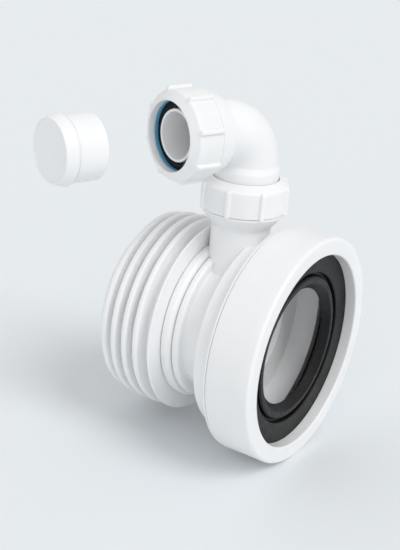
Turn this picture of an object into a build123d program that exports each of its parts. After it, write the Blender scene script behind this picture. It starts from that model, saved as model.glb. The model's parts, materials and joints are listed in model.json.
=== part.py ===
"""Toilet pan connector with a vent boss: a cup for the pan, a finned outlet for the soil pipe and,
on top, a swivelling waste elbow held by compression nuts, with its blanking plug taken off.

Millimetres. The origin is the centre of the pan mouth, +X points out of the mouth and +Z is up.
"""

import os
from math import cos, radians, sin

from build123d import *

# Pan mouth and the cap that holds the pan seal
mouth_opening_d = 112.2
mouth_rim_width = 9.9
cap_length = 26.5
cap_wall = 3.0
cap_step = 1.0
cap_round = 1.5
lip_depth = 7.1
lip_round = 0.8

# Cup, neck and soil spigot of the body, along the main axis
body_wall = 3.0
flange_width = 3.0
flange_height = 6.35
flange_fit = 0.15
cup_length = 14.4
cup_round = 1.2
stop_drop = 1.2
stop_width = 1.2
neck_length = 17.8
neck_step = 5.8
neck_round = 1.2
ring_outer_d = 94.4
ring_outer_width = 5.6
ring_outer_round = 2.6
ring_groove_width = 0.8
ring_groove_depth = 4.0
ring_inner_width = 3.9
ring_inner_drop = 1.9
ring_inner_round = 1.4
ring_edge_round = 0.6
spigot_step = 2.7
spigot_wall = 3.5
bead_height = 1.0
bead_width = 3.0

# Finned sleeve pushed over the soil spigot
sleeve_wall = 3.5
sleeve_fit = 0.15
sleeve_joint = 0.2
sleeve_tail = 3.0
fin_tip_d = 113.6
fin_pitch = 7.7
fin_count = 4
end_fin_drop = 2.2
next_fin_drop = 0.5
fin_tip_width = 3.0
fin_tip_round = 0.9
fin_root_width = 6.4
fin_lean = 0.6
collar_width = 1.2
collar_slope = 1.0
collar_back_slope = 2.6
collar_to_fin = 8.9

# Pan seal, a rubber diaphragm clamped behind the cap's lip
pan_seal_wall = 3.0
pan_seal_fit = 0.15
pan_seal_hole_d = 68.4
pan_lip_width = 3.9
pan_lip_drop = 3.8
pan_lip_edge = 0.6
ridge_width = 4.0
ridge_round = 1.2
groove_width = 2.2
groove_depth = 3.2

# Compression ends: the boss on the body and the outlet of the elbow share these
pipe_d = 36.0
pipe_gap = 0.3
tail_step = 0.0
tail_gap = 0.3
seal_width = 2.0
seal_depth = 6.0
seal_proud = 0.95
seal_fit = 0.12
mouth_wall = 1.6
thread_gap = 0.4
nut_wall = 1.8
nut_length = 18.3
nut_lip = 5.0
nut_cone = 3.7
nut_round = 1.5
nut_hole_gap = 0.5
rib_count = 8
rib_height = 1.7
rib_width = 2.6
rib_root = 1.2
rib_front = 3.0
rib_bevel = 0.7
hub_step = 1.8
hub_rim = 1.2
hub_gap = 0.3
washer_thickness = 2.0
washer_gap = 0.3
stack_gap = 0.1

# Boss on top of the neck
boss_d = 33.6
boss_wall = 2.8
boss_to_collar = 0.2
boss_nut_height = 91.5
boss_cone_drop = 28.6
boss_cone_round = 3.0
boss_rib_turn = 9.9
boss_washer_gap = 0.3

# Elbow that turns in the boss
outlet_turn = 250.1
outlet_rise = 27.2
outlet_reach = 55.6
outlet_rib_turn = 18.5
tail_depth = 24.5
tail_show = 4.5
tail_wall = 3.0
tube_step = 1.6
tube_wall = 3.0
bend_inner = 3.0
bend_to_hub = 6.6
hub_taper = 3.4
hub_end_round = 1.5
socket_floor = 1.9
liner_step = 4.05
liner_wall = 1.5
liner_floor = 1.5
liner_taper = 2.8
liner_drop = 5.2
liner_round = 0.4

# Outlet seal and the blanking plug that closes it
seal_lip_grip = 2.0
seal_lip_thickness = 1.5
seal_lip_bulge = 1.3
outlet_washer_gap = 0.25
plug_draw = 63.5
plug_gap = 0.3
plug_slack = 1.0
plug_flange = 6.0
plug_flange_taper = 1.9
plug_edge_round = 0.6
plug_end_gap = 4.6
plug_bevel = 1.0
plug_relief = 0.5
plug_relief_width = 1.6
plug_wall = 2.4
plug_rim = 0.8
plug_recess = 0.8

# Stations along the main axis and radii about it
opening_r = mouth_opening_d / 2
mouth_r = opening_r + mouth_rim_width
cap_bore_r = mouth_r - cap_wall
cap_seat_r = cap_bore_r - cap_step
flange_r = cap_bore_r - flange_fit
flange_front = -cap_length + flange_width
cup_r = flange_r - flange_height
cup_back = -cap_length - cup_length
stop_r = mouth_r - stop_drop
stop_front = -cap_length - stack_gap
stop_back = stop_front - stop_width
ring_outer_r = ring_outer_d / 2
ring_groove_r = ring_outer_r - ring_groove_depth
ring_inner_r = ring_outer_r - ring_inner_drop
neck_r = ring_inner_r - neck_step
neck_bore_r = neck_r - body_wall
spigot_r = ring_outer_r - spigot_step
spigot_bore_r = spigot_r - spigot_wall
bead_r = spigot_r + bead_height
ring_inner_front = cup_back - neck_length
ring_inner_back = ring_inner_front - ring_inner_width
ring_outer_front = ring_inner_back - ring_groove_width
ring_outer_back = ring_outer_front - ring_outer_width
collar_face = ring_outer_back - collar_slope
collar_back = collar_face - collar_width
last_fin = collar_back - collar_to_fin
end_fin = last_fin - (fin_count - 1) * fin_pitch
spigot_end = end_fin - fin_lean - fin_root_width / 2 - sleeve_tail

# Radii of a compression end, built up from the pipe that it takes
pipe_socket_r = pipe_d / 2 + pipe_gap
tail_r = pipe_d / 2 + tail_step
socket_r = tail_r + tail_gap
seat_r = socket_r + seal_width
seal_outer_r = seat_r - seal_fit
thread_r = seat_r + mouth_wall
nut_bore_r = thread_r + thread_gap
nut_r = nut_bore_r + nut_wall
nut_hole_r = tail_r + nut_hole_gap
washer_outer_r = nut_bore_r - washer_gap
hub_r = thread_r + hub_step
tube_r = tail_r - tube_step
tube_bore_r = tube_r - tube_wall
liner_r = pipe_d / 2 - liner_step
liner_bore_r = liner_r - liner_wall

# Heights on a compression end, measured outwards from the front of its nut
hub_shoulder = -nut_length - hub_gap
washer_front = -nut_lip - stack_gap
seal_front = washer_front - washer_thickness - stack_gap
seal_back = seal_front - seal_depth
seat_floor = seal_back - stack_gap
mouth_rim = seal_front - seal_proud

# The elbow's outlet: what its reach leaves beyond the bend holds the hub, and the hub holds the pipe socket
bend_radius = tube_r + bend_inner
hub_length = outlet_reach - bend_radius - bend_to_hub
pipe_depth = hub_length - socket_floor

# The two compression ends: the origin is the middle of the nut's front, z points out of the nut
boss_r = boss_d / 2
boss_x = ring_outer_back + boss_r + boss_to_collar
outlet_height = boss_nut_height + outlet_rise
outlet_direction = Vector(cos(radians(outlet_turn)), sin(radians(outlet_turn)), 0)
boss_end = Plane(origin=(boss_x, 0, boss_nut_height), x_dir=(1, 0, 0), z_dir=(0, 0, 1))
outlet_end = Plane(
    origin=Vector(boss_x, 0, outlet_height) + outlet_direction * outlet_reach,
    x_dir=Vector(0, 0, 1).cross(outlet_direction),
    z_dir=outlet_direction,
)


def along(end):
    """The axis of a compression end."""
    return Axis(end.origin, end.z_dir)


def through(end, turn=0):
    """The half section of a compression end: x is the radius, y runs out along the axis."""
    radius_direction = end.x_dir.rotate(Axis((0, 0, 0), end.z_dir), turn)
    return Plane(origin=end.origin, x_dir=radius_direction, z_dir=radius_direction.cross(end.z_dir))


def corners(sketch, *points):
    """The corners of a sketch that lie at the given points."""
    return [sketch.vertices().sort_by_distance(point)[0] for point in points]


os.makedirs("parts", exist_ok=True)

# Body: cup, neck, soil spigot and boss in one moulding
boss_bore_r = boss_r - boss_wall
boss_foot = neck_bore_r / 2 - boss_nut_height

with BuildPart() as connector_body:
    with BuildSketch(Plane.XY) as body_section:
        with BuildLine():
            Polyline(
                (spigot_end, 0),
                (spigot_end, bead_r),
                (spigot_end + bead_width, bead_r),
                (spigot_end + bead_width, spigot_r),
                (ring_outer_back, spigot_r),
                (ring_outer_back, ring_outer_r),
                (ring_outer_front, ring_outer_r),
                (ring_outer_front, ring_groove_r),
                (ring_inner_back, ring_groove_r),
                (ring_inner_back, ring_inner_r),
                (ring_inner_front, ring_inner_r),
                (ring_inner_front, neck_r),
                (cup_back, neck_r),
                (cup_back, cup_r),
                (stop_back, cup_r),
                (stop_back, stop_r),
                (stop_front, stop_r),
                (stop_front, flange_r),
                (flange_front, flange_r),
                (flange_front, 0),
                close=True,
            )
        make_face()
        ring_edges = [(ring_outer_back, ring_outer_r), (ring_inner_back, ring_inner_r)]
        fillet(corners(body_section, *ring_edges), ring_edge_round)
        fillet(corners(body_section, (ring_outer_front, ring_outer_r)), ring_outer_round)
        fillet(corners(body_section, (ring_inner_front, ring_inner_r)), ring_inner_round)
        fillet(corners(body_section, (ring_inner_front, neck_r), (cup_back, neck_r)), neck_round)
        fillet(corners(body_section, (cup_back, cup_r)), cup_round)
    revolve(axis=Axis.X)
    with BuildSketch(through(boss_end)) as boss_section:
        with BuildLine():
            Polyline(
                (0, boss_foot),
                (boss_r, boss_foot),
                (boss_r, -boss_cone_drop),
                (hub_r, hub_shoulder - hub_rim),
                (hub_r, hub_shoulder),
                (thread_r, hub_shoulder),
                (thread_r, mouth_rim),
                (0, mouth_rim),
                close=True,
            )
        make_face()
        fillet(corners(boss_section, (boss_r, -boss_cone_drop)), boss_cone_round)
    revolve(axis=along(boss_end))
    with BuildSketch(Plane.XY):
        with BuildLine():
            Polyline(
                (spigot_end, 0),
                (spigot_end, spigot_bore_r),
                (ring_outer_back, spigot_bore_r),
                (ring_inner_front, neck_bore_r),
                (cup_back + body_wall, neck_bore_r),
                (cup_back + body_wall, cup_r - body_wall),
                (flange_front, cup_r - body_wall),
                (flange_front, 0),
                close=True,
            )
        make_face()
    revolve(axis=Axis.X, mode=Mode.SUBTRACT)
    with BuildSketch(through(boss_end)):
        with BuildLine():
            Polyline(
                (0, boss_foot),
                (boss_bore_r, boss_foot),
                (boss_bore_r, -tail_depth),
                (socket_r, -tail_depth),
                (socket_r, seat_floor),
                (seat_r, seat_floor),
                (seat_r, mouth_rim),
                (0, mouth_rim),
                close=True,
            )
        make_face()
    revolve(axis=along(boss_end), mode=Mode.SUBTRACT)
connector_body.part.label = "connector_body"
export_step(connector_body.part, "parts/connector_body.step")

# Finned sleeve: round-tipped fins that bend inside the soil pipe, and a collar against the rings
sleeve_bore_r = spigot_r + sleeve_fit
sleeve_r = sleeve_bore_r + sleeve_wall
sleeve_front = ring_outer_back - sleeve_joint
bead_seat_r = bead_r + sleeve_fit
bead_seat = spigot_end + bead_width + sleeve_fit
fin_root_r = sleeve_r - sleeve_wall / 2
fin_tip_r = fin_tip_d / 2
fin_drops = [0] * (fin_count - 2) + [next_fin_drop, end_fin_drop]

with BuildPart() as finned_sleeve:
    with BuildSketch(Plane.XY) as sleeve_section:
        with BuildLine():
            Polyline(
                (spigot_end, bead_seat_r),
                (spigot_end, sleeve_r),
                (collar_back - collar_back_slope, sleeve_r),
                (collar_back, fin_tip_r),
                (collar_face, fin_tip_r),
                (sleeve_front, sleeve_r),
                (sleeve_front, sleeve_bore_r),
                (bead_seat, sleeve_bore_r),
                (bead_seat, bead_seat_r),
                close=True,
            )
        make_face()
        for number, drop in enumerate(fin_drops):
            tip_x = last_fin - number * fin_pitch
            root_x = tip_x - fin_lean
            with BuildLine():
                Polyline(
                    (root_x - fin_root_width / 2, fin_root_r),
                    (tip_x - fin_tip_width / 2, fin_tip_r - drop),
                    (tip_x + fin_tip_width / 2, fin_tip_r - drop),
                    (root_x + fin_root_width / 2, fin_root_r),
                    close=True,
                )
            make_face()
            tip_left = (tip_x - fin_tip_width / 2, fin_tip_r - drop)
            tip_right = (tip_x + fin_tip_width / 2, fin_tip_r - drop)
            fillet(corners(sleeve_section, tip_left, tip_right), fin_tip_round)
    revolve(axis=Axis.X)
finned_sleeve.part.label = "finned_sleeve"
export_step(finned_sleeve.part, "parts/finned_sleeve.step")

# Cap: a ring with an inturned lip, pushed over the cup's flange up to its stop
with BuildPart() as seal_cap:
    with BuildSketch(Plane.XY) as cap_section:
        with BuildLine():
            Polyline(
                (0, opening_r),
                (0, mouth_r),
                (-cap_length, mouth_r),
                (-cap_length, cap_bore_r),
                (flange_front, cap_bore_r),
                (flange_front, cap_seat_r),
                (-cap_wall, cap_seat_r),
                (-cap_wall, opening_r + cap_wall),
                (-lip_depth, opening_r + cap_wall),
                (-lip_depth, opening_r),
                close=True,
            )
        make_face()
        fillet(corners(cap_section, (0, mouth_r)), cap_round)
        fillet(corners(cap_section, (0, opening_r)), lip_round)
    revolve(axis=Axis.X)
seal_cap.part.label = "seal_cap"
export_step(seal_cap.part, "parts/seal_cap.step")

# Pan seal: a rim held between lip and flange, a folded diaphragm and a soft lip round the hole
rim_r = cap_seat_r - pan_seal_fit
rim_back = flange_front + stack_gap
diaphragm = -lip_depth - stack_gap
pan_hole_r = pan_seal_hole_d / 2
ridge_inner_r = pan_hole_r + pan_lip_width
ridge_outer_r = ridge_inner_r + ridge_width
groove_outer_r = ridge_outer_r + groove_width
fold_r = groove_outer_r + pan_seal_wall
fold_back = diaphragm - groove_depth - pan_seal_wall
pan_lip = diaphragm - pan_lip_drop

with BuildPart() as pan_seal:
    with BuildSketch(Plane.XY) as seal_section:
        with BuildLine():
            Polyline(
                (rim_back, rim_r),
                (diaphragm, rim_r),
                (diaphragm, groove_outer_r),
                (diaphragm - groove_depth, groove_outer_r),
                (diaphragm - groove_depth, ridge_outer_r),
                (diaphragm, ridge_outer_r),
                (diaphragm, ridge_inner_r),
                (pan_lip, pan_hole_r),
                (pan_lip - pan_lip_edge, pan_hole_r),
                (fold_back, ridge_inner_r),
                (fold_back, fold_r),
                (diaphragm - pan_seal_wall, fold_r),
                (diaphragm - pan_seal_wall, rim_r - pan_seal_wall),
                (rim_back, rim_r - pan_seal_wall),
                close=True,
            )
        make_face()
        ridge_edges = [(diaphragm, ridge_outer_r), (diaphragm, ridge_inner_r)]
        fillet(corners(seal_section, *ridge_edges), ridge_round)
    revolve(axis=Axis.X)
pan_seal.part.label = "pan_seal"
export_step(pan_seal.part, "parts/pan_seal.step")

# Boss seal: a rubber ring between the boss, the elbow's tail and the washer
with BuildPart() as boss_seal:
    with BuildSketch(through(boss_end)):
        with BuildLine():
            Polyline(
                (socket_r, seal_front),
                (seal_outer_r, seal_front),
                (seal_outer_r, seal_back),
                (socket_r, seal_back),
                close=True,
            )
        make_face()
    revolve(axis=along(boss_end))
boss_seal.part.label = "boss_seal"
export_step(boss_seal.part, "parts/boss_seal.step")

# Slip washers and nuts of the two compression ends
washer_holes = {"boss": tail_r + boss_washer_gap, "outlet": pipe_d / 2 + outlet_washer_gap}
rib_turns = {"boss": boss_rib_turn, "outlet": outlet_rib_turn}

for place, end in (("boss", boss_end), ("outlet", outlet_end)):
    with BuildPart() as washer:
        with BuildSketch(through(end)):
            with BuildLine():
                Polyline(
                    (washer_holes[place], washer_front),
                    (washer_outer_r, washer_front),
                    (washer_outer_r, washer_front - washer_thickness),
                    (washer_holes[place], washer_front - washer_thickness),
                    close=True,
                )
            make_face()
        revolve(axis=along(end))
    washer.part.label = f"{place}_washer"
    export_step(washer.part, f"parts/{place}_washer.step")

    with BuildPart() as nut:
        with BuildSketch(through(end)) as nut_section:
            with BuildLine():
                Polyline(
                    (nut_hole_r, 0),
                    (nut_r, -nut_cone),
                    (nut_r, -nut_length),
                    (nut_bore_r, -nut_length),
                    (nut_bore_r, -nut_lip),
                    (nut_hole_r, -nut_lip),
                    close=True,
                )
            make_face()
            fillet(corners(nut_section, (nut_r, -nut_cone)), nut_round)
        revolve(axis=along(end))
        turns = [rib_turns[place] + number * 360 / rib_count for number in range(rib_count)]
        with BuildSketch(*[through(end, turn) for turn in turns]):
            with BuildLine():
                Polyline(
                    (nut_r - rib_root, -nut_length),
                    (nut_r + rib_height, -nut_length),
                    (nut_r + rib_height, -rib_front - rib_bevel),
                    (nut_r + rib_height - rib_bevel, -rib_front),
                    (nut_r - rib_root, -rib_front),
                    close=True,
                )
            make_face()
        extrude(amount=rib_width / 2, both=True)
    nut.part.label = f"{place}_nut"
    export_step(nut.part, f"parts/{place}_nut.step")

# Elbow: tail, bend, outlet hub and the liner inside its mouth in one moulding, bored right through
bend_start = outlet_rise - bend_radius
bend_out = bend_radius - outlet_reach
bend_foot = boss_end.offset(bend_start)
bend_plane = Plane(boss_end.origin, x_dir=outlet_direction, z_dir=outlet_direction.cross(Vector(0, 0, 1)))

with BuildPart() as elbow:
    with BuildSketch(through(boss_end)):
        with BuildLine():
            Polyline(
                (0, -tail_depth + tail_gap),
                (tail_r, -tail_depth + tail_gap),
                (tail_r, tail_show),
                (tube_r, bend_start),
                (0, bend_start),
                close=True,
            )
        make_face()
    revolve(axis=along(boss_end))
    with BuildLine(bend_plane) as bend:
        RadiusArc((0, bend_start), (bend_radius, outlet_rise), bend_radius)
    with BuildSketch(bend_foot):
        Circle(tube_r)
    sweep(path=bend.wires()[0])
    with BuildSketch(through(outlet_end)) as outlet_section:
        with BuildLine():
            Polyline(
                (0, bend_out),
                (tube_r, bend_out),
                (tube_r, -hub_length),
                (hub_r - hub_taper, -hub_length),
                (hub_r, hub_shoulder - hub_rim),
                (hub_r, hub_shoulder),
                (thread_r, hub_shoulder),
                (thread_r, mouth_rim),
                (0, mouth_rim),
                close=True,
            )
        make_face()
        hub_corners = [(tube_r, -hub_length), (hub_r - hub_taper, -hub_length)]
        fillet(corners(outlet_section, *hub_corners), hub_end_round)
    revolve(axis=along(outlet_end))
    with BuildSketch(through(boss_end)):
        with BuildLine():
            Polyline(
                (0, -tail_depth + tail_gap),
                (tail_r - tail_wall, -tail_depth + tail_gap),
                (tail_r - tail_wall, tail_show),
                (tube_bore_r, bend_start),
                (0, bend_start),
                close=True,
            )
        make_face()
    revolve(axis=along(boss_end), mode=Mode.SUBTRACT)
    with BuildSketch(bend_foot):
        Circle(tube_bore_r)
    sweep(path=bend.wires()[0], mode=Mode.SUBTRACT)
    with BuildSketch(through(outlet_end)):
        with BuildLine():
            Polyline(
                (0, bend_out),
                (tube_bore_r, bend_out),
                (tube_bore_r, -pipe_depth - liner_floor - liner_taper),
                (liner_bore_r, -pipe_depth - liner_floor),
                (liner_bore_r, -pipe_depth),
                (pipe_socket_r, -pipe_depth),
                (pipe_socket_r, seat_floor),
                (seat_r, seat_floor),
                (seat_r, mouth_rim),
                (0, mouth_rim),
                close=True,
            )
        make_face()
    revolve(axis=along(outlet_end), mode=Mode.SUBTRACT)
    with BuildSketch(through(outlet_end)) as liner_section:
        with BuildLine():
            Polyline(
                (liner_bore_r, -pipe_depth - liner_floor / 2),
                (liner_r, -pipe_depth - liner_floor / 2),
                (liner_r, -liner_drop),
                (liner_bore_r, -liner_drop),
                close=True,
            )
        make_face()
        fillet(corners(liner_section, (liner_r, -liner_drop), (liner_bore_r, -liner_drop)), liner_round)
    revolve(axis=along(outlet_end))
elbow.part.label = "elbow"
export_step(elbow.part, "parts/elbow.step")

# Outlet seal: a ring in the hub's mouth with a lip that grips the pipe or the plug
plug_r = pipe_d / 2 - plug_slack
lip_r = plug_r - seal_lip_grip
lip_front = seal_front + seal_lip_bulge

with BuildPart() as outlet_seal:
    with BuildSketch(through(outlet_end)):
        with BuildLine():
            Polyline(
                (pipe_socket_r, seal_front),
                (seal_outer_r, seal_front),
                (seal_outer_r, seal_back),
                (pipe_socket_r, seal_back),
                (pipe_socket_r, seal_front - seal_lip_thickness),
                (lip_r, lip_front - seal_lip_thickness),
                (lip_r, lip_front),
                close=True,
            )
        make_face()
    revolve(axis=along(outlet_end))
outlet_seal.part.label = "outlet_seal"
export_step(outlet_seal.part, "parts/outlet_seal.step")

# Blanking plug: a hollow spigot under a tapered flange, drawn out in line with the outlet
plug_flange_r = nut_hole_r - plug_gap
plug_front_r = plug_flange_r - plug_flange_taper
plug_front = plug_draw + plug_flange
plug_floor = plug_front - plug_recess
plug_body = pipe_depth - nut_lip - plug_end_gap
plug_end = plug_draw - plug_body

with BuildPart() as blanking_plug:
    with BuildSketch(through(outlet_end)) as plug_section:
        with BuildLine():
            Polyline(
                (0, plug_floor),
                (plug_front_r - plug_rim, plug_floor),
                (plug_front_r - plug_rim, plug_front),
                (plug_front_r, plug_front),
                (plug_flange_r, plug_draw),
                (plug_r - plug_relief, plug_draw),
                (plug_r - plug_relief, plug_draw - plug_relief_width),
                (plug_r, plug_draw - plug_relief_width),
                (plug_r, plug_end + plug_bevel),
                (plug_r - plug_bevel, plug_end),
                (plug_r - plug_wall, plug_end),
                (plug_r - plug_wall, plug_floor - plug_wall),
                (0, plug_floor - plug_wall),
                close=True,
            )
        make_face()
        fillet(corners(plug_section, (plug_front_r, plug_front)), plug_edge_round)
    revolve(axis=along(outlet_end))
blanking_plug.part.label = "blanking_plug"
export_step(blanking_plug.part, "parts/blanking_plug.step")
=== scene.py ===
import json

import bpy
import numpy as np
from mathutils import Matrix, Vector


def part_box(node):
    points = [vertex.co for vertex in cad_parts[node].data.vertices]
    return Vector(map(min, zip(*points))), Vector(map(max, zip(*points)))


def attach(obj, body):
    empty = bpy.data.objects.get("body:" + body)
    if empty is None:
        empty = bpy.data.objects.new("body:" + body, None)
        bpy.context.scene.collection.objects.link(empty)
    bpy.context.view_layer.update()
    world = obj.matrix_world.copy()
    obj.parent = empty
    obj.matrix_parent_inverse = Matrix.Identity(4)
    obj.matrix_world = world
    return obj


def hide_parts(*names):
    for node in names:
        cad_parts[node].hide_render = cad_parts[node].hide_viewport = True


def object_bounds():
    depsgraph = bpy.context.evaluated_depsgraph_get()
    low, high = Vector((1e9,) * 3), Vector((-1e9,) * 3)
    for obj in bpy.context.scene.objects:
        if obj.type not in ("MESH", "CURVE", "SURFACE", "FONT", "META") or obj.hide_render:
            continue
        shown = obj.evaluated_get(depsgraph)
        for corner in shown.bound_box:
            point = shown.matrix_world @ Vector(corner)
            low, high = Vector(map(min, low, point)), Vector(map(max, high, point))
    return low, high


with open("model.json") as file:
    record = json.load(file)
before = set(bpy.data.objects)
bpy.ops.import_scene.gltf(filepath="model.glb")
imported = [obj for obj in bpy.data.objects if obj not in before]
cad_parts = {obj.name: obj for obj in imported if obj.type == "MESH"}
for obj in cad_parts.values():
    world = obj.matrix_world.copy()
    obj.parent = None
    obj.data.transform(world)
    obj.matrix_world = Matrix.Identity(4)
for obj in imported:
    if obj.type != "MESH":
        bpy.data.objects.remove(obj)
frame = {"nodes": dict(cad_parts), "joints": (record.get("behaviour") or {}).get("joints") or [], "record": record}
cadBox = [list(map(float, corner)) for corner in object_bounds()]
scene = bpy.context.scene
scene.view_settings.view_transform = "Standard"
mm = 0.001  # the profiles below are in millimetres, the scene in metres
fullTurn = 2 * np.pi


# a turning axis: where it starts, which way it runs, and the directions at angle zero and a quarter turn on
def turningAxis(origin, out, across):
    origin, out, across = (np.array(vector, float) for vector in (origin, out, across))
    return {"origin": origin, "out": out, "across": across, "third": np.cross(out, across)}


mounts = {mount["name"]: mount for mount in frame["record"]["mounts"]}
joints = {joint["name"]: joint for joint in frame["joints"]}
upward = np.array([0.0, 0.0, 1.0])
outletWay = np.array(mounts["waste_inlet"]["axis"], float)
bossPlace = np.array(joints["elbow_swivel"]["pos_m"], float)
bossPlace[2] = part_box("boss_nut")[1].z  # stations on the boss count from its nut's front

mainAxis = turningAxis(mounts["pan_mouth"]["pos_m"], mounts["pan_mouth"]["axis"], upward)
bossAxis = turningAxis(bossPlace, upward, (1.0, 0.0, 0.0))
outletAxis = turningAxis(mounts["waste_inlet"]["pos_m"], outletWay, np.cross(upward, outletWay))


# corners from a piece's settings, each written as the names of its radius, station and rounding
def namedCorners(settings, *corners):
    return [tuple(settings[name] for name in corner.split()) for corner in corners]


# corners of (radius, station, rounding): each corner gives way to an arc that touches both its sides,
# and every straight run gets points at least runStep apart, with one close to each end to hold the edge
def roundedProfile(corners, closed=True, arcSteps=5, runStep=6.0, hold=0.12, holdShare=0.3, straight=89.5):
    points = np.array([corner[:2] for corner in corners], float)
    arcs = []
    for number, here in enumerate(points):
        rounding = corners[number][2]
        toBefore = points[number - 1] - here
        toAfter = points[(number + 1) % len(points)] - here
        toBefore /= np.linalg.norm(toBefore)
        toAfter /= np.linalg.norm(toAfter)
        half = np.arccos(np.clip(toBefore @ toAfter, -1, 1)) / 2
        if rounding == 0 or half > np.radians(straight):
            arcs.append(here[None])
            continue
        cut = rounding / np.tan(half)
        middle = (toBefore + toAfter) / np.linalg.norm(toBefore + toAfter)
        centre = here + middle * rounding / np.sin(half)
        first, last = here + toBefore * cut - centre, here + toAfter * cut - centre
        sweep = np.pi - 2 * half
        t = np.linspace(0, 1, arcSteps + 1)[:, None]
        arcs.append(centre + (np.sin((1 - t) * sweep) * first + np.sin(t * sweep) * last) / np.sin(sweep))
    pieces = []
    for number, arc in enumerate(arcs):
        pieces.append(arc)
        if number == len(arcs) - 1 and not closed:
            break
        here, there = arc[-1], arcs[(number + 1) % len(arcs)][0]
        length = np.linalg.norm(there - here)
        steps = np.linspace(0, 1, max(int(length / runStep), 1) + 1)[1:-1]
        edge = hold / length if length * holdShare > hold else holdShare
        share = np.concatenate([[edge], steps, [1 - edge]])[:, None]
        pieces.append(here + share * (there - here))
    return np.concatenate(pieces)


# quads between neighbouring points of a grid, with the seam closed on each side that wraps round
def gridFaces(rows, columns, closedRows=True):
    index = np.arange(rows * columns).reshape(rows, columns)
    beside = np.roll(index, -1, axis=1)
    below, across = np.roll(index, -1, axis=0), np.roll(beside, -1, axis=0)
    quads = np.stack([index, beside, across, below], axis=-1)
    return (quads if closedRows else quads[:-1]).reshape(-1, 4)


# the sum of the corner tetrahedra over all faces: negative when the faces point inwards
def signedVolume(points, faces):
    a, b, c, d = (points[faces[:, k]] for k in range(4))
    return np.sum(np.cross(b - a, c - a) * a) + np.sum(np.cross(c - a, d - a) * a)


# a mesh object from a grid of points; an open grid is closed by a fan round a point at each end
def gridPiece(name, grid, material, closedRows=True, poles=None):
    rows, columns = grid.shape[:2]
    points = grid.reshape(-1, 3)
    faces = gridFaces(rows, columns, closedRows)
    flip = signedVolume(points, faces) < 0
    fans = np.zeros((0, 3), int)
    if poles is not None:
        around = np.arange(columns)
        first = np.stack([np.roll(around, -1), around, np.full(columns, len(points))], axis=-1)
        last = np.stack([around, np.roll(around, -1), np.full(columns, len(points) + 1)], axis=-1)
        last[:, :2] += (rows - 1) * columns
        fans = np.concatenate([first, last])
        points = np.concatenate([points, poles])
    if flip:
        faces, fans = faces[:, ::-1], fans[:, ::-1]
    mesh = bpy.data.meshes.new(name)
    mesh.from_pydata(points.tolist(), [], faces.tolist() + fans.tolist())
    mesh.polygons.foreach_set("use_smooth", np.ones(len(mesh.polygons), bool))
    mesh.materials.append(material)
    mesh.update()
    piece = bpy.data.objects.new(name, mesh)
    scene.collection.objects.link(piece)
    return piece


# point = axis start + station along the axis + radius in the direction of the angle
def turnedGrid(axis, radius, station, angle):
    radius, station, angle = (values[..., None] for values in np.broadcast_arrays(radius, station, angle))
    way = np.cos(angle) * axis["across"] + np.sin(angle) * axis["third"]
    return axis["origin"] + mm * (station * axis["out"] + radius * way)


# even angles round a circle, the last one short of the first
def anglesAround(steps):
    return np.linspace(0, fullTurn, steps, endpoint=False)


# a profile turned about an axis: each of its points at each of the angles
def turnedPiece(name, axis, corners, material, steps, **profileSettings):
    profile = roundedProfile(corners, **profileSettings)
    return gridPiece(name, turnedGrid(axis, profile[:, :1], profile[:, 1:], anglesAround(steps)), material)


# a thread is a ridge carried along a helix: radius = wall + height of the ridge, which fades in and out
def threadPiece(name, axis, thread, material):
    turns = (thread["end"] - thread["start"]) / thread["pitch"]
    angle = np.linspace(0, fullTurn * turns, int(turns * thread["steps"]) + 1)[:, None]
    fade = np.clip(np.minimum(angle, angle[-1] - angle) / thread["fade"], 0, 1)
    side = np.array([-1.0, -0.9, -0.45, 0.45, 0.9, 1.0])  # across the ridge, from flank to flank
    rise = np.array([-0.6, 0.0, 1.0, 1.0, 0.0, -0.6])  # the outer points are sunk in the wall
    radius = thread["wall"] + thread["height"] * rise * np.where(rise > 0, fade, 1)
    along = thread["start"] + thread["pitch"] * angle / fullTurn + thread["width"] / 2 * side
    grid = turnedGrid(axis, radius, along, angle + thread["phase"])
    return gridPiece(name, grid, material, closedRows=False, poles=[grid[0].mean(0), grid[-1].mean(0)])


def dress(piece, body, slot, *nodes):
    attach(piece, body)
    if nodes:
        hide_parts(*nodes)


# finishes
def addNode(tree, kind, place, **values):
    node = tree.nodes.new(kind)
    node.location = place
    for key, value in values.items():
        setattr(node, key, value)
    return node


skinLayers = {
    "Tone": {"scale": "Drift Scale", "detail": 3.0},
    "Gloss": {"scale": "Gloss Scale", "detail": 4.0},
    "Height": {"scale": "Grain Scale", "detail": 2.0},
}
skinRange = {"low": 0.3, "high": 0.7}  # the part of the noise that is stretched over 0 to 1


# the skin of a moulding: broad drifts of tone, patches of gloss and a fine grain, all from noise
def mouldedSkinGroup():
    group = bpy.data.node_groups.new("mouldedSkin", "ShaderNodeTree")
    for output, layer in skinLayers.items():
        group.interface.new_socket(output, in_out="OUTPUT", socket_type="NodeSocketFloat")
        group.interface.new_socket(layer["scale"], in_out="INPUT", socket_type="NodeSocketFloat")
    inside = addNode(group, "NodeGroupInput", (-900, 0))
    outside = addNode(group, "NodeGroupOutput", (300, 0))
    coordinate = addNode(group, "ShaderNodeTexCoord", (-900, 300))
    for row, (output, layer) in enumerate(skinLayers.items()):
        noise = addNode(group, "ShaderNodeTexNoise", (-600, 300 - 300 * row))
        noise.inputs["Detail"].default_value = layer["detail"]
        spread = addNode(group, "ShaderNodeMapRange", (-200, 300 - 300 * row))
        spread.inputs["From Min"].default_value = skinRange["low"]
        spread.inputs["From Max"].default_value = skinRange["high"]
        group.links.new(coordinate.outputs["Object"], noise.inputs["Vector"])
        group.links.new(inside.outputs[layer["scale"]], noise.inputs["Scale"])
        group.links.new(noise.outputs["Fac"], spread.inputs["Value"])
        group.links.new(spread.outputs["Result"], outside.inputs[output])
    return group


mouldedSkin = mouldedSkinGroup()


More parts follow.
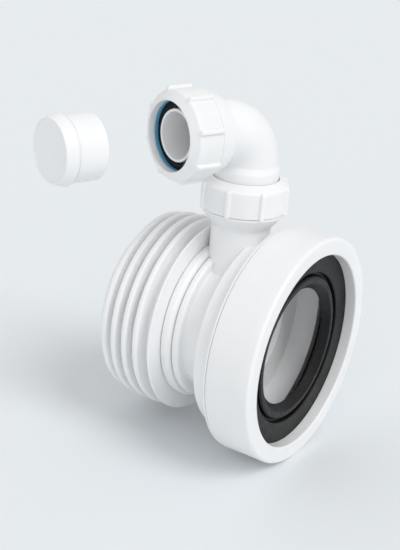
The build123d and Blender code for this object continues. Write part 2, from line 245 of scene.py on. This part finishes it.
def mouldedFinish(name, look):
    material = bpy.data.materials.new(name)
    material.use_nodes = True
    tree = material.node_tree
    shader = tree.nodes["Principled BSDF"]
    skin = addNode(tree, "ShaderNodeGroup", (-900, 0), node_tree=mouldedSkin)
    skin.inputs["Drift Scale"].default_value = look["driftScale"]
    skin.inputs["Gloss Scale"].default_value = look["glossScale"]
    skin.inputs["Grain Scale"].default_value = look["grainScale"]
    tone = addNode(tree, "ShaderNodeMix", (-500, 200), data_type="RGBA")
    tone.inputs["A"].default_value = (*look["darkTone"], 1)
    tone.inputs["B"].default_value = (*look["lightTone"], 1)
    gloss = addNode(tree, "ShaderNodeMapRange", (-500, -50))
    gloss.inputs["To Min"].default_value = look["roughness"][0]
    gloss.inputs["To Max"].default_value = look["roughness"][1]
    grain = addNode(tree, "ShaderNodeBump", (-500, -350))
    grain.inputs["Strength"].default_value = look["grainStrength"]
    grain.inputs["Distance"].default_value = look["grainDepth"]
    tree.links.new(skin.outputs["Tone"], tone.inputs["Factor"])
    tree.links.new(skin.outputs["Gloss"], gloss.inputs["Value"])
    tree.links.new(skin.outputs["Height"], grain.inputs["Height"])
    tree.links.new(tone.outputs["Result"], shader.inputs["Base Color"])
    tree.links.new(gloss.outputs["Result"], shader.inputs["Roughness"])
    tree.links.new(grain.outputs["Normal"], shader.inputs["Normal"])
    shader.inputs["IOR"].default_value = look["ior"]
    shader.inputs["Subsurface Weight"].default_value = look["glow"]
    shader.inputs["Subsurface Radius"].default_value = look["glowRadius"]
    shader.inputs["Subsurface Scale"].default_value = look["glowDepth"]
    return material


whiteLook = {
    "driftScale": 24.0, "glossScale": 160.0, "grainScale": 700.0,
    "darkTone": (0.885, 0.888, 0.89), "lightTone": (0.92, 0.923, 0.925), "roughness": (0.285, 0.36),
    "grainStrength": 0.05, "grainDepth": 0.00004, "ior": 1.49,
    "glow": 0.2, "glowRadius": (1.0, 0.98, 0.95), "glowDepth": 0.005,
}
softLook = {
    "driftScale": 30.0, "glossScale": 240.0, "grainScale": 1100.0,
    "darkTone": (0.885, 0.887, 0.892), "lightTone": (0.92, 0.922, 0.928), "roughness": (0.4, 0.52),
    "grainStrength": 0.16, "grainDepth": 0.00005, "ior": 1.47,
    "glow": 0.25, "glowRadius": (1.0, 0.98, 0.96), "glowDepth": 0.005,
}
rubberLook = {
    "driftScale": 60.0, "glossScale": 320.0, "grainScale": 900.0,
    "darkTone": (0.003, 0.0031, 0.0034), "lightTone": (0.012, 0.0123, 0.013), "roughness": (0.29, 0.42),
    "grainStrength": 0.6, "grainDepth": 0.0002, "ior": 1.28,
    "glow": 0.0, "glowRadius": (1.0, 1.0, 1.0), "glowDepth": 0.001,
}
washerLook = {
    "driftScale": 90.0, "glossScale": 420.0, "grainScale": 1800.0,
    "darkTone": (0.1, 0.335, 0.58), "lightTone": (0.14, 0.42, 0.67), "roughness": (0.36, 0.46),
    "grainStrength": 0.12, "grainDepth": 0.00004, "ior": 1.49,
    "glow": 0.05, "glowRadius": (0.5, 0.8, 1.0), "glowDepth": 0.001,
}
whitePlastic = mouldedFinish("whitePlastic", whiteLook)
softWhite = mouldedFinish("softWhite", softLook)
blackRubber = mouldedFinish("blackRubber", rubberLook)
blueWasher = mouldedFinish("blueWasher", washerLook)
print("finishes made")

# body: the frame's own moulding, whose cup, neck, spigot and boss are right as they are
bodyNode = frame["nodes"]["connector_body"]
bodyNode.data.materials.clear()
bodyNode.data.materials.append(whitePlastic)

# finned sleeve on the soil spigot
sleeve = {
    "end": -110.0, "front": -69.2, "radius": 48.15, "bore": 44.65, "seat": -106.85, "seatRadius": 45.65,
    "tips": ((-103.2, 54.6), (-95.5, 56.3), (-87.8, 56.8), (-80.1, 56.8)),  # station and radius of each fin
    "tipWidth": 3.0, "tipRound": 1.2, "rootWidth": 5.9, "lean": 0.5, "rootRound": 0.8,
    "collarFoot": -73.8, "collarBack": -71.2, "collarFace": -70.0, "collarRadius": 56.8,
    "collarRound": 0.45, "endRound": 0.9, "edge": 0.3, "steps": 240,
}


def sleeveCorners(s):
    tail = namedCorners(s, "seatRadius end edge", "radius end endRound")
    fins = []
    for station, radius in s["tips"]:
        root = station - s["lean"]
        fins += [
            (s["radius"], root - s["rootWidth"] / 2, s["rootRound"]),
            (radius, station - s["tipWidth"] / 2, s["tipRound"]),
            (radius, station + s["tipWidth"] / 2, s["tipRound"]),
            (s["radius"], root + s["rootWidth"] / 2, s["rootRound"]),
        ]
    collar = namedCorners(
        s, "radius collarFoot rootRound", "collarRadius collarBack collarRound",
        "collarRadius collarFace collarRound", "radius front edge", "bore front edge", "bore seat edge",
        "seatRadius seat edge",
    )
    return tail + fins + collar


finnedSleeve = turnedPiece("finnedSleeve", mainAxis, sleeveCorners(sleeve), softWhite, sleeve["steps"])
dress(finnedSleeve, "connector", "soft_white", "finned_sleeve")

# cap over the pan seal
cap = {
    "front": 0.0, "rear": -26.5, "opening": 56.1, "radius": 66.0, "bore": 63.0, "seat": 62.0, "lip": -7.1,
    "wall": 3.0, "flange": -23.5, "frontRound": 1.8, "openingRound": 1.0, "edge": 0.3, "steps": 240,
}
cap["faceBack"] = cap["front"] - cap["wall"]
cap["lipOuter"] = cap["opening"] + cap["wall"]
capCorners = namedCorners(
    cap, "opening front openingRound", "radius front frontRound", "radius rear edge", "bore rear edge",
    "bore flange edge", "seat flange edge", "seat faceBack edge", "lipOuter faceBack edge",
    "lipOuter lip edge", "opening lip edge",
)
sealCap = turnedPiece("sealCap", mainAxis, capCorners, whitePlastic, cap["steps"])
dress(sealCap, "connector", "white_plastic", "seal_cap")

# rounded edge of the body's stop rim, a fine gap behind the cap
rim = {"front": -27.0, "rear": -28.3, "radius": 65.7, "foot": 55.5, "round": 0.35, "sharp": 0.0, "steps": 240}
rimCorners = namedCorners(
    rim, "foot front sharp", "radius front round", "radius rear round", "foot rear sharp"
)
stopRim = turnedPiece("stopRim", mainAxis, rimCorners, whitePlastic, rim["steps"])
dress(stopRim, "connector", "white_plastic")

# pan seal: rim, flat diaphragm, fold, ridge and a soft lip round the hole
panSeal = {
    "rim": 61.85, "rimBack": -23.4, "face": -7.2, "wall": 3.0, "grooveOuter": 44.3, "grooveDepth": 3.2,
    "ridgeOuter": 42.1, "ridgeInner": 38.1, "hole": 34.2, "lip": -11.0, "lipEdge": 0.6,
    "grooveRound": 0.7, "foldRound": 0.9, "ridgeRound": 1.6, "lipRound": 0.25, "edge": 0.25,
    "steps": 240, "arcSteps": 6,
}


def panSealCorners(s):
    s = {
        **s, "rimInner": s["rim"] - s["wall"], "back": s["face"] - s["wall"],
        "grooveFloor": s["face"] - s["grooveDepth"], "foldBack": s["face"] - s["grooveDepth"] - s["wall"],
        "fold": s["grooveOuter"] + s["wall"], "lipBack": s["lip"] - s["lipEdge"],
    }
    return namedCorners(
        s, "rim rimBack edge", "rim face edge", "grooveOuter face grooveRound",
        "grooveOuter grooveFloor foldRound", "ridgeOuter grooveFloor foldRound", "ridgeOuter face ridgeRound",
        "ridgeInner face ridgeRound", "hole lip lipRound", "hole lipBack lipRound",
        "ridgeInner foldBack edge", "fold foldBack edge", "fold back edge", "rimInner back edge",
        "rimInner rimBack edge",
    )


panRubber = turnedPiece(
    "panSeal", mainAxis, panSealCorners(panSeal), blackRubber, panSeal["steps"], arcSteps=panSeal["arcSteps"]
)
dress(panRubber, "connector", "black_rubber", "pan_seal")
print("main run: sleeve, cap and pan seal")

# slip washers and rubber rings of the two compression ends
ring = {
    "washerFront": -5.1, "washerBack": -7.1, "washerOuter": 22.0, "bossHole": 18.3, "outletHole": 18.25,
    "sealFront": -7.2, "sealBack": -13.2, "sealOuter": 20.18, "sealBore": 18.3,
    "lipRadius": 15.0, "lipFront": -5.9, "lipThickness": 1.5, "lipRound": 0.4, "edge": 0.3, "steps": 144,
}
ring["lipBack"] = ring["lipFront"] - ring["lipThickness"]
ring["lipFoot"] = ring["sealFront"] - ring["lipThickness"]


# the rectangular section of a plain ring, from its hole outwards and from its front to its back
def plainRing(hole, kind):
    return namedCorners(
        ring, f"{hole} {kind}Front edge", f"{kind}Outer {kind}Front edge", f"{kind}Outer {kind}Back edge",
        f"{hole} {kind}Back edge",
    )


for place, axis in (("boss", bossAxis), ("outlet", outletAxis)):
    body = place + "_washer"
    washerCorners = plainRing(place + "Hole", "washer")
    washer = turnedPiece(place + "Washer", axis, washerCorners, blueWasher, ring["steps"])
    dress(washer, body, "blue_washer", body)
bossSeal = turnedPiece("bossSeal", bossAxis, plainRing("sealBore", "seal"), blackRubber, ring["steps"])
dress(bossSeal, "connector", "black_rubber", "boss_seal")
outletSealCorners = namedCorners(
    ring, "sealBore sealFront lipRound", "sealOuter sealFront edge", "sealOuter sealBack edge",
    "sealBore sealBack edge", "sealBore lipFoot edge", "lipRadius lipBack lipRound",
    "lipRadius lipFront lipRound",
)
outletSeal = turnedPiece("outletSeal", outletAxis, outletSealCorners, blackRubber, ring["steps"])
dress(outletSeal, "elbow", "black_rubber", "outlet_seal")
print("washers and rubber rings")

# compression nuts: a turned shell whose outside swells into rounded ribs
nut = {
    "front": 0.0, "back": -18.3, "hole": 18.5, "bore": 22.3, "radius": 24.1, "cone": -3.7, "lip": -5.0,
    "holeRound": 0.5, "coneRound": 1.5, "edge": 0.35, "runStep": 1.2, "arcSteps": 6,
    "ribs": 8, "ribHeight": 1.7, "ribWidth": 2.6, "ribFlank": 0.4, "ribFront": -3.0, "ribRun": 1.1,
    "ribCrown": 0.12, "ribFade": 0.6, "flatSteps": 6, "flankSteps": 7, "topShare": 0.55,
    "bossTurn": np.radians(9.9), "outletTurn": np.radians(18.5),  # where the first rib of each nut stands
}
threadForm = {"height": 0.34, "pitch": 4.0, "width": 1.7, "fade": 0.6, "steps": 96}
nutThread = {
    **threadForm, "wall": nut["bore"], "height": -threadForm["height"],
    "start": -17.3, "end": -8.3, "phase": np.pi,
}


# a smooth step from 0 to 1 between two bounds
def smoothStep(low, high, value):
    t = np.clip((value - low) / (high - low), 0, 1)
    return t * t * (3 - 2 * t)


# radius = profile + rib height x (how far into a rib the angle is) x (how far along the rib the station is)
def nutPiece(name, axis, turn):
    corners = namedCorners(
        nut, "hole front holeRound", "radius cone coneRound", "radius back edge", "bore back edge",
        "bore lip edge", "hole lip edge",
    )
    profile = roundedProfile(corners, runStep=nut["runStep"], arcSteps=nut["arcSteps"])
    radius, station = profile[:, :1], profile[:, 1:]
    period = fullTurn / nut["ribs"]
    halfRib = nut["ribWidth"] / 2 / nut["radius"]
    flank = nut["ribFlank"] / nut["radius"]
    foot, top = halfRib + flank / 2, halfRib - flank / 2
    flat = np.linspace(period / 2, halfRib + flank, nut["flatSteps"])
    half = np.concatenate([flat, np.linspace(foot, top, nut["flankSteps"]), [halfRib * nut["topShare"], 0.0]])
    oneRib = np.concatenate([-half, half[-2:0:-1]])
    angle = (np.arange(nut["ribs"])[:, None] * period + oneRib).ravel()
    offset = np.tile(oneRib, nut["ribs"])
    inRib = smoothStep(foot, top, np.abs(offset))
    crown = 1 - nut["ribCrown"] * (offset / halfRib) ** 2  # the rib's top is slightly rounded
    outside = smoothStep(nut["bore"], nut["radius"] - nut["ribFade"], radius) * (station < nut["ribFront"])
    alongRib = np.sqrt(np.clip((nut["ribFront"] - station) / nut["ribRun"], 0, 1)) * outside
    swell = nut["ribHeight"] * alongRib * (inRib * crown)
    return gridPiece(name, turnedGrid(axis, radius + swell, station, angle + turn), whitePlastic)


for place, axis in (("boss", bossAxis), ("outlet", outletAxis)):
    body = place + "_nut"
    dress(nutPiece(place + "Nut", axis, nut[place + "Turn"]), body, "white_plastic", body)
    dress(threadPiece(place + "NutThread", axis, nutThread, whitePlastic), body, "white_plastic")
print("compression nuts")

# elbow: one closed profile of (radius, distance along the path) carried up the tail, round the bend and out
elbow = {
    "tailEnd": -24.2, "tail": 18.0, "tailBore": 15.0, "shoulder": 4.5,
    "tube": 16.4, "tubeBore": 13.4, "bend": 19.4, "rise": 27.2, "reach": 55.6,
    "hubBack": -29.6, "hubFoot": 20.3, "hub": 23.7, "hubRim": -19.8, "hubShoulder": -18.6,
    "mouth": 21.9, "mouthRim": -8.15, "seat": 20.3, "seatFloor": -13.3, "socket": 18.3, "socketEnd": -27.7,
    "liner": 13.95, "linerBore": 12.45, "linerFront": -5.2, "linerFoot": -29.2, "linerTaper": -32.0,
    "tailRound": 0.6, "shoulderRound": 1.4, "tubeRound": 2.0, "hubRound": 1.5, "rimRound": 0.8,
    "rimEdge": 0.35, "mouthRound": 0.5, "linerRound": 0.45, "boreRound": 1.0, "edge": 0.3,
    "runStep": 0.8, "steps": 160,
}
mouthThread = {**threadForm, "wall": elbow["mouth"], "start": -17.6, "end": -8.6, "phase": 0.0}


# point = place on the path + radius x (cos of the angle towards the bend's middle + sin of it sideways)
def elbowPiece(e):
    bendStart = e["rise"] - e["bend"] - e["tailEnd"]  # distances count from the tail's end
    bendEnd = bendStart + e["bend"] * np.pi / 2
    nutFront = bendEnd + e["reach"] - e["bend"]
    shoulder = e["shoulder"] - e["tailEnd"]
    tail = [
        (e["tailBore"], 0.0, e["edge"]), (e["tail"], 0.0, e["tailRound"]),
        (e["tail"], shoulder, e["shoulderRound"]), (e["tube"], bendStart, e["tubeRound"]),
    ]
    outlet = namedCorners(
        e, "tube hubBack hubRound", "hubFoot hubBack hubRound", "hub hubRim rimRound",
        "hub hubShoulder rimEdge", "mouth hubShoulder edge", "mouth mouthRim mouthRound",
        "seat mouthRim edge", "seat seatFloor edge", "socket seatFloor edge", "socket socketEnd edge",
        "liner socketEnd edge", "liner linerFront linerRound", "linerBore linerFront linerRound",
        "linerBore linerFoot boreRound", "tubeBore linerTaper boreRound",
    )
    outlet = [(radius, nutFront + station, rounding) for radius, station, rounding in outlet]
    bore = [(e["tubeBore"], bendStart, e["boreRound"]), (e["tailBore"], shoulder, e["boreRound"])]
    profile = roundedProfile(tail + outlet + bore, runStep=e["runStep"])
    radius, distance = profile[:, :1], profile[:, 1:]
    turn = np.clip((distance - bendStart) / e["bend"], 0, np.pi / 2)
    foot = bossAxis["origin"] + mm * e["tailEnd"] * upward
    path = foot + mm * (
        (np.minimum(distance, bendStart) + e["bend"] * np.sin(turn)) * upward
        + (e["bend"] * (1 - np.cos(turn)) + np.maximum(distance - bendEnd, 0)) * outletWay
    )
    inward = np.cos(turn) * outletWay - np.sin(turn) * upward  # towards the middle of the bend
    sideways = np.cross(upward, outletWay)
    angle = anglesAround(e["steps"])[None, :, None]
    across = np.cos(angle) * inward[:, None] + np.sin(angle) * sideways
    return gridPiece("wasteElbow", path[:, None] + mm * radius[:, None] * across, whitePlastic)


dress(elbowPiece(elbow), "elbow", "white_plastic", "elbow")
for place, axis, body in (("boss", bossAxis, "connector"), ("elbow", outletAxis, "elbow")):
    dress(threadPiece(place + "Thread", axis, mouthThread, whitePlastic), body, "white_plastic")
print("elbow and mouth threads")

# blanking plug, drawn out in line with the outlet
plug = {
    "front": 69.5, "floor": 68.7, "flangeBack": 63.5, "end": 45.4, "faceRadius": 15.5, "frontRadius": 16.3,
    "flange": 18.2, "body": 17.0, "relief": 16.5, "reliefEnd": 61.9, "bevel": 1.0, "wall": 2.4,
    "poleRing": 1.5, "floorRound": 0.3, "faceRound": 0.25, "frontRound": 0.5, "flangeRound": 0.35,
    "reliefRound": 0.2, "bevelRound": 0.5, "endRound": 0.4, "innerRound": 0.8, "edge": 0.3, "sharp": 0.0,
    "runStep": 2.0, "steps": 160,
}


# a turned profile that is open at the axis, where a fan closes each of its two ends
def plugPiece(p):
    p = {
        **p, "inner": p["body"] - p["wall"], "inside": p["floor"] - p["wall"],
        "bevelStart": p["end"] + p["bevel"], "bevelRadius": p["body"] - p["bevel"],
    }
    corners = namedCorners(
        p, "poleRing floor sharp", "faceRadius floor floorRound", "faceRadius front faceRound",
        "frontRadius front frontRound", "flange flangeBack flangeRound", "relief flangeBack edge",
        "relief reliefEnd reliefRound", "body reliefEnd reliefRound", "body bevelStart bevelRound",
        "bevelRadius end endRound", "inner end edge", "inner inside innerRound", "poleRing inside sharp",
    )
    profile = roundedProfile(corners, closed=False, runStep=p["runStep"])
    grid = turnedGrid(outletAxis, profile[:, :1], profile[:, 1:], anglesAround(p["steps"]))
    middle = outletAxis["origin"] + mm * np.array([[p["floor"]], [p["inside"]]]) * outletWay
    return gridPiece("blankingPlug", grid, whitePlastic, closedRows=False, poles=middle)


dress(plugPiece(plug), "plug", "white_plastic", "blanking_plug")
print("blanking plug")

# floor, light and camera
stage = {
    "floorTone": (0.81, 0.842, 0.865), "floorRoughness": 0.9, "floorShine": 0.0, "floorSize": 8.0,
    "skyTone": (0.79, 0.823, 0.847), "skyLight": (0.985, 0.992, 1.0), "skyStrength": 0.7,
    "keyEnergy": 1.05, "keyAngle": 0.5, "keyTurn": (0.684, 0.0, 1.4),  # from above and the right
    "fillEnergy": 0.28, "fillAngle": 0.9, "fillTurn": (1.148, 0.0, 0.454),  # from beside the camera
}


def layFloor(s):
    half = s["floorSize"] / 2
    low = cadBox[0][2]
    corners = [(-half, -half, low), (half, -half, low), (half, half, low), (-half, half, low)]
    mesh = bpy.data.meshes.new("floor")
    mesh.from_pydata(corners, [], [(0, 1, 2, 3)])
    material = bpy.data.materials.new("floor")
    material.use_nodes = True
    shader = material.node_tree.nodes["Principled BSDF"]
    shader.inputs["Base Color"].default_value = (*s["floorTone"], 1)
    shader.inputs["Roughness"].default_value = s["floorRoughness"]
    shader.inputs["Specular IOR Level"].default_value = s["floorShine"]
    mesh.materials.append(material)
    floor = bpy.data.objects.new("floor", mesh)
    scene.collection.objects.link(floor)


def lightStage(s):
    world = bpy.data.worlds.new("studio")
    scene.world = world
    world.use_nodes = True
    tree = world.node_tree
    light = tree.nodes["Background"]
    light.inputs["Color"].default_value = (*s["skyLight"], 1)
    light.inputs["Strength"].default_value = s["skyStrength"]
    backdrop = addNode(tree, "ShaderNodeBackground", (0, -200))
    backdrop.inputs["Color"].default_value = (*s["skyTone"], 1)
    rays = addNode(tree, "ShaderNodeLightPath", (-300, 300))
    mix = addNode(tree, "ShaderNodeMixShader", (300, 0))
    tree.links.new(rays.outputs["Is Camera Ray"], mix.inputs["Fac"])
    tree.links.new(light.outputs["Background"], mix.inputs[1])
    tree.links.new(backdrop.outputs["Background"], mix.inputs[2])
    tree.links.new(mix.outputs["Shader"], tree.nodes["World Output"].inputs["Surface"])
    for name in ("key", "fill"):
        lamp = bpy.data.objects.new(name, bpy.data.lights.new(name, "SUN"))
        lamp.data.energy = s[name + "Energy"]
        lamp.data.angle = s[name + "Angle"]
        lamp.rotation_euler = s[name + "Turn"]
        scene.collection.objects.link(lamp)


layFloor(stage)
lightStage(stage)

cameraLook = {
    "azimuth": 31.45, "elevation": 22.42, "roll": 5.11,  # degrees
    "distance": 0.6562, "aside": -0.06123, "above": 0.04308,  # metres
    "focalPixels": 1174.64, "imageHeight": 550, "sensorHeight": 36.0,
}


# the camera looks back along its own axis, turned by azimuth and elevation, then rolled
def placeCamera(look):
    a, e, r = (np.radians(look[key]) for key in ("azimuth", "elevation", "roll"))
    back = np.array([np.sin(a) * np.cos(e), -np.cos(a) * np.cos(e), np.sin(e)])
    right = np.array([np.cos(a), np.sin(a), 0.0])
    up = np.cross(back, right)
    rolledRight = np.cos(r) * right + np.sin(r) * up
    rolledUp = -np.sin(r) * right + np.cos(r) * up
    place = back * look["distance"] + rolledRight * look["aside"] + rolledUp * look["above"]
    data = bpy.data.cameras.new("camera")
    data.sensor_fit = "VERTICAL"
    data.sensor_height = look["sensorHeight"]
    data.lens = look["focalPixels"] * data.sensor_height / look["imageHeight"]
    camera = bpy.data.objects.new("camera", data)
    scene.collection.objects.link(camera)
    turn = np.eye(4)
    turn[:3] = np.stack([rolledRight, rolledUp, back, place], axis=1)
    camera.matrix_world = Matrix(turn.tolist())
    scene.camera = camera


placeCamera(cameraLook)
print("stage, light and camera")
